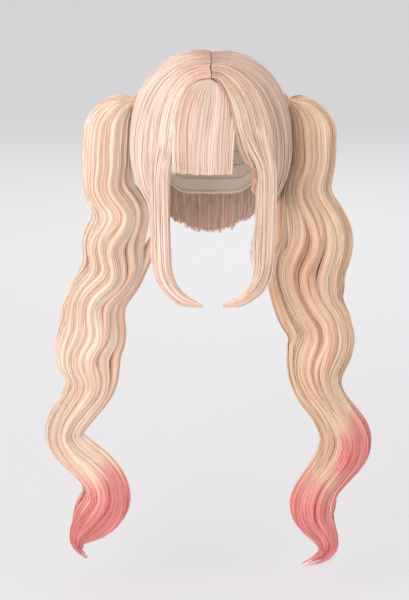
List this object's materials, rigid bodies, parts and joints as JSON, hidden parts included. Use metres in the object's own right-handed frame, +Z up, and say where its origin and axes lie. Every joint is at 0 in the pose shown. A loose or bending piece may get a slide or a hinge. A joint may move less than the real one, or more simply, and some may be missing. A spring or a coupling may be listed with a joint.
{
  "type": "pigtail wig",
  "caption": "Costume wig with a centre parting, blunt fringe and curled face locks, and a long wavy pigtail tied high on each side.",
  "frame": {"origin": "middle of the head opening, level with the brow, where the head that the wig fits is longest and widest", "axes": "+Z up along the head, the face looks along -Y, +X is the viewer's right as seen from the front"},
  "size_m": [0.4039, 0.2171, 0.6671],
  "materials": {
    "cap_net": "matt beige elastic net",
    "crown_hair": "pale peach synthetic fibre with a soft sheen",
    "fringe_hair": "pale pinkish peach synthetic fibre with a soft sheen",
    "face_lock_hair": "pale peach synthetic fibre with a soft sheen",
    "tail_hair": "peach synthetic fibre that fades to coral pink at the tips",
    "tie_elastic": "golden elastic cord"
  },
  "bodies": {
    "root": {"wig_cap": "cap_net", "crown_hair_left": "crown_hair", "crown_hair_right": "crown_hair", "back_hair": "crown_hair", "fringe": "fringe_hair", "face_lock_left": "face_lock_hair", "face_lock_right": "face_lock_hair", "pigtail_left": "tail_hair", "pigtail_right": "tail_hair", "hair_tie_left": "tie_elastic", "hair_tie_right": "tie_elastic"}
  },
  "joints": []
}
